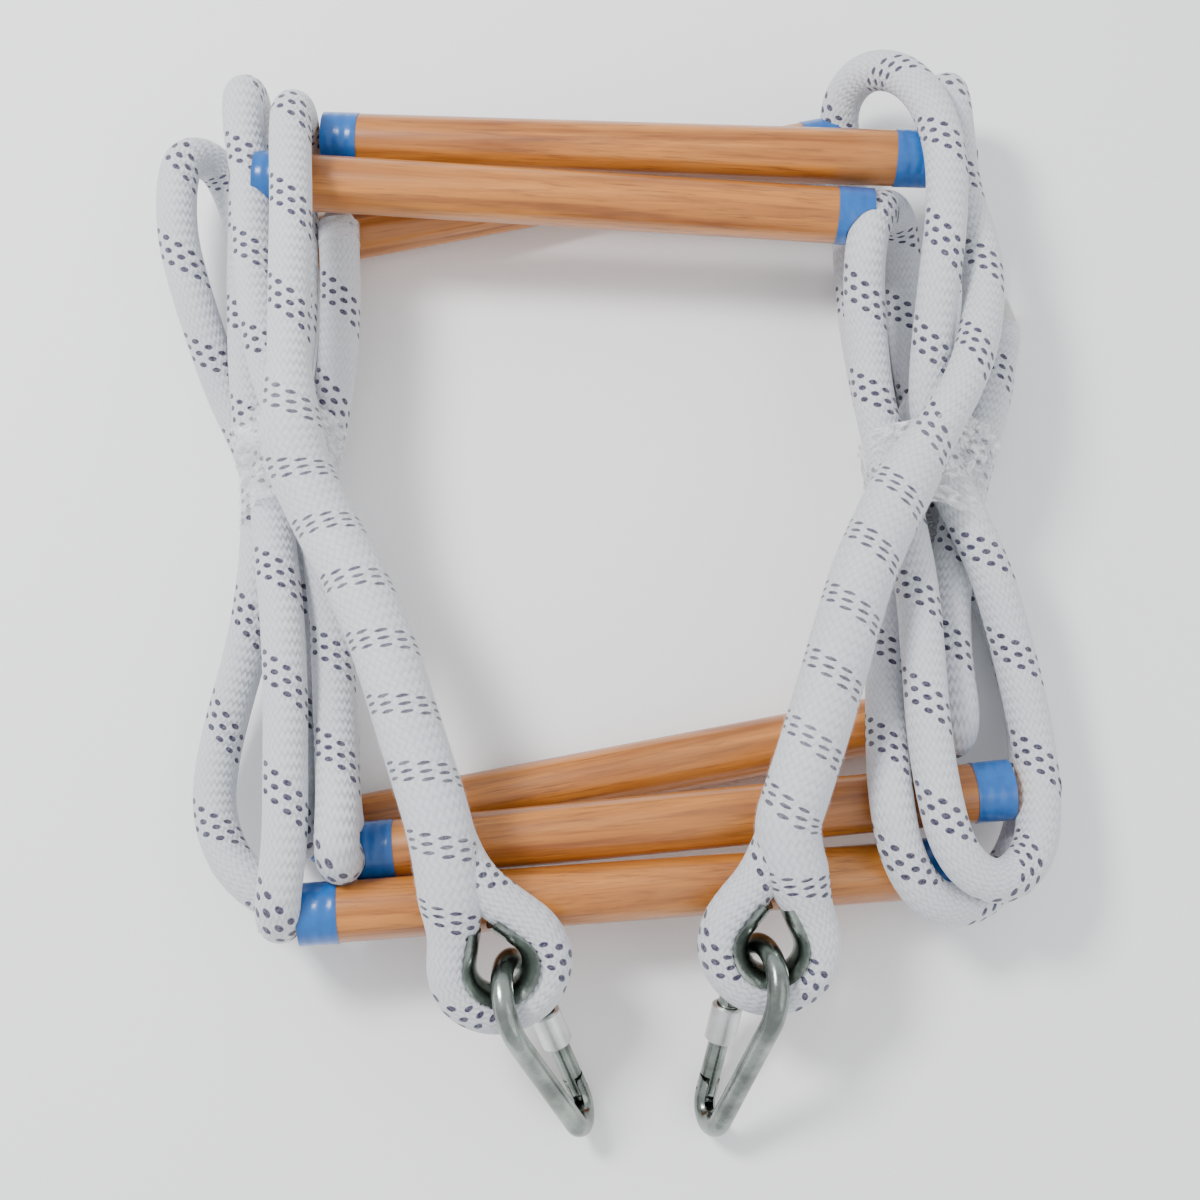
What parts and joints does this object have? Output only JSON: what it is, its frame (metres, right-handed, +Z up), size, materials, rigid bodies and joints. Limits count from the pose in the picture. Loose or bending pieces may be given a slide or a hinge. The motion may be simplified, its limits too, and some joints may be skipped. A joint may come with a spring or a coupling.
{
  "type": "escape rope ladder",
  "caption": "Escape rope ladder folded flat for storage: round wooden rungs between white side ropes, each rope ending in a spliced eye with a thimble and a screw-lock spring hook.",
  "frame": {"origin": "centre of the footprint of the folded ladder without its free ropes, on the floor", "axes": "+Z up from the floor, +X along the rungs towards the right-hand rope, -Y from the middle towards the hooks"},
  "size_m": [0.4507, 0.5445, 0.1065],
  "materials": {
    "rope": "matt braided",
    "wood": "clear varnish",
    "tape": "gloss",
    "steel": "zinc plated, satin",
    "film": "clear stretched film",
    "seal": "melted rope"
  },
  "bodies": {
    "bundle": {"rung_1": "wood", "rung_1_tape_left": "tape", "rung_1_tape_right": "tape", "rung_2": "wood", "rung_2_tape_left": "tape", "rung_2_tape_right": "tape", "rung_3": "wood", "rung_3_tape_left": "tape", "rung_3_tape_right": "tape", "rung_4": "wood", "rung_4_tape_left": "tape", "rung_4_tape_right": "tape", "rung_5": "wood", "rung_5_tape_left": "tape", "rung_5_tape_right": "tape", "rung_6": "wood", "rung_6_tape_left": "tape", "rung_6_tape_right": "tape", "rung_screws": "steel", "side_rope_left": "rope", "splice_cover_left": "film", "eye_thimble_left": "steel", "bundle_tie_left": "film", "tail_band_left": "film", "tail_seal_left": "seal", "side_rope_right": "rope", "splice_cover_right": "film", "eye_thimble_right": "steel", "bundle_tie_right": "film", "tail_band_right": "film", "tail_seal_right": "seal"},
    "hook_left": {"hook_body_left": "steel", "gate_hinge_pin_left": "steel"},
    "gate_left": {"hook_gate_left": "steel", "gate_latch_pin_left": "steel", "gate_spring_left": "steel", "spring_plunger_left": "steel"},
    "sleeve_left": {"screw_sleeve_left": "steel"},
    "hook_right": {"hook_body_right": "steel", "gate_hinge_pin_right": "steel"},
    "gate_right": {"hook_gate_right": "steel", "gate_latch_pin_right": "steel", "gate_spring_right": "steel", "spring_plunger_right": "steel"},
    "sleeve_right": {"screw_sleeve_right": "steel"}
  },
  "joints": [
    {"name": "hook_swing_left", "type": "hinge", "parent": "bundle", "child": "hook_left", "pos_m": [-0.04791, -0.20122, 0.05683], "axis": [-0.8916, -0.4521, -0.0249], "range_deg": [-5, 25]},
    {"name": "gate_hinge_left", "type": "hinge", "parent": "hook_left", "child": "gate_left", "pos_m": [-0.02307, -0.23815, 0.00851], "axis": [0.9257, 0.2198, 0.3079], "range_deg": [0, 25], "stiffness_Nm_per_rad": 0.02, "springref_deg": -14.32},
    {"name": "sleeve_travel_left", "type": "slide", "parent": "gate_left", "child": "sleeve_left", "axis": [-0.3513, 0.8015, 0.484], "range_m": [0, 0.011]},
    {"name": "hook_swing_right", "type": "hinge", "parent": "bundle", "child": "hook_right", "pos_m": [0.05831, -0.19484, 0.05147], "axis": [-0.9588, 0.2773, 0.0623], "range_deg": [-5, 25]},
    {"name": "gate_hinge_right", "type": "hinge", "parent": "hook_right", "child": "gate_right", "pos_m": [0.03779, -0.23877, 0.00714], "axis": [0.9195, -0.0344, -0.3915], "range_deg": [0, 25], "stiffness_Nm_per_rad": 0.02, "springref_deg": -14.32},
    {"name": "sleeve_travel_right", "type": "slide", "parent": "gate_right", "child": "sleeve_right", "axis": [0.2116, 0.8828, 0.4194], "range_m": [0, 0.011]}
  ]
}
